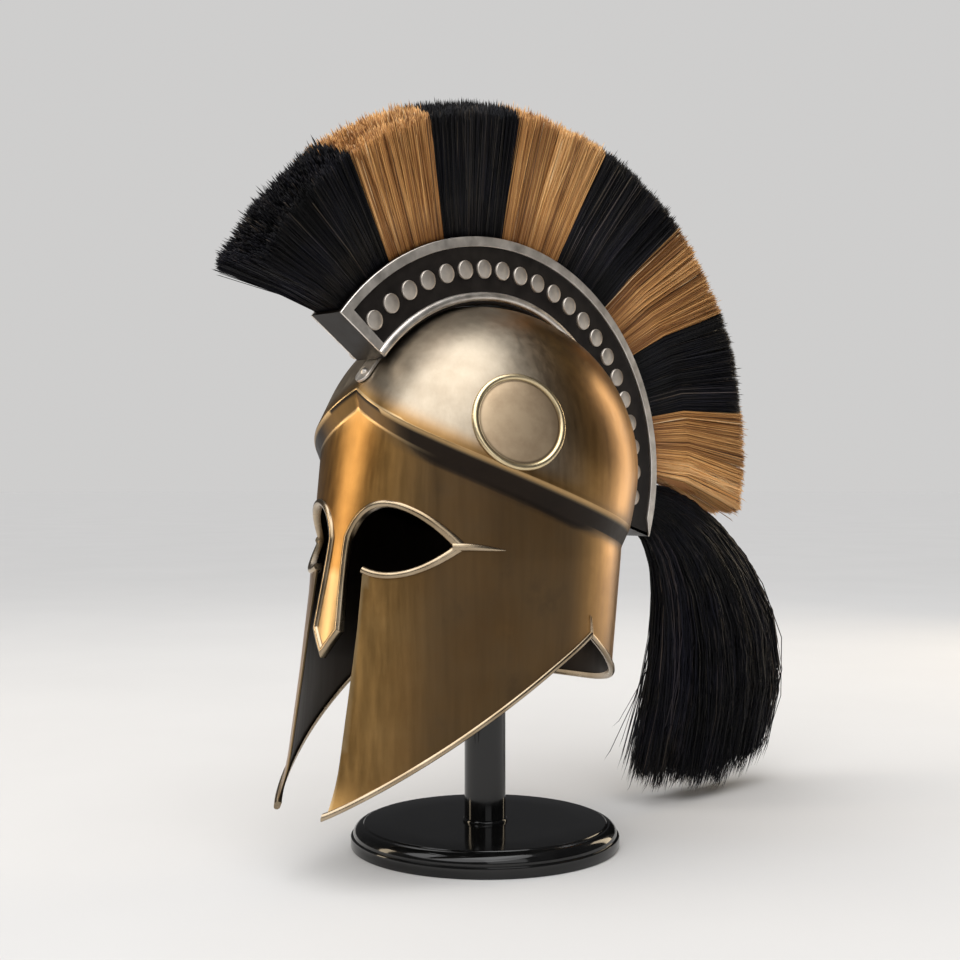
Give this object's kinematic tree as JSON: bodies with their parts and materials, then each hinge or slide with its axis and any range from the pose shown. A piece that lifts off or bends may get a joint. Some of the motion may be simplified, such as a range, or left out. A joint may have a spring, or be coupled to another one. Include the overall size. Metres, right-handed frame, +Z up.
{
  "type": "greek bronze helmet on a display stand",
  "caption": "Corinthian style bronze helmet with almond eye openings, nose guard, long cheeks, round temple discs and a striped fan crest with a hair tail, on a round black stand",
  "frame": {"origin": "centre of the underside of the stand's round base, on the surface it stands on", "axes": "+Z up, -Y the way the face looks, +X the wearer's left"},
  "size_m": [0.2024, 0.5538, 0.5152],
  "materials": {
    "bronze": "antiqued brushed bronze with dark patina",
    "bronze_trim": "polished rolled edge",
    "steel": "brushed, slightly warm",
    "crest_panel": "black semi gloss",
    "black_hair": "dyed horse hair",
    "tan_hair": "natural horse hair",
    "black_lacquer": "high gloss black lacquer"
  },
  "bodies": {
    "root": {"helmet_shell": "bronze", "temple_disc_left": "bronze", "temple_disc_right": "bronze", "face_trim": "bronze_trim", "neck_trim": "bronze_trim", "cheek_trim_left": "bronze_trim", "cheek_trim_right": "bronze_trim", "crest_box": "crest_panel", "crest_bracket": "steel", "bracket_rivet": "steel", "crest_frame_left": "steel", "crest_frame_right": "steel", "stud_left_01": "steel", "stud_left_02": "steel", "stud_left_03": "steel", "stud_left_04": "steel", "stud_left_05": "steel", "stud_left_06": "steel", "stud_left_07": "steel", "stud_left_08": "steel", "stud_left_09": "steel", "stud_left_10": "steel", "stud_left_11": "steel", "stud_left_12": "steel", "stud_left_13": "steel", "stud_left_14": "steel", "stud_left_15": "steel", "stud_left_16": "steel", "stud_left_17": "steel", "stud_left_18": "steel", "stud_right_01": "steel", "stud_right_02": "steel", "stud_right_03": "steel", "stud_right_04": "steel", "stud_right_05": "steel", "stud_right_06": "steel", "stud_right_07": "steel", "stud_right_08": "steel", "stud_right_09": "steel", "stud_right_10": "steel", "stud_right_11": "steel", "stud_right_12": "steel", "stud_right_13": "steel", "stud_right_14": "steel", "stud_right_15": "steel", "stud_right_16": "steel", "stud_right_17": "steel", "stud_right_18": "steel", "hair_tuft_1": "black_hair", "hair_tuft_2": "tan_hair", "hair_tuft_3": "black_hair", "hair_tuft_4": "tan_hair", "hair_tuft_5": "black_hair", "hair_tuft_6": "tan_hair", "hair_tuft_7": "black_hair", "hair_tuft_8": "tan_hair", "hair_tail": "black_hair", "stand_base": "black_lacquer", "stand_post": "black_lacquer", "head_rest": "black_lacquer"}
  },
  "joints": []
}
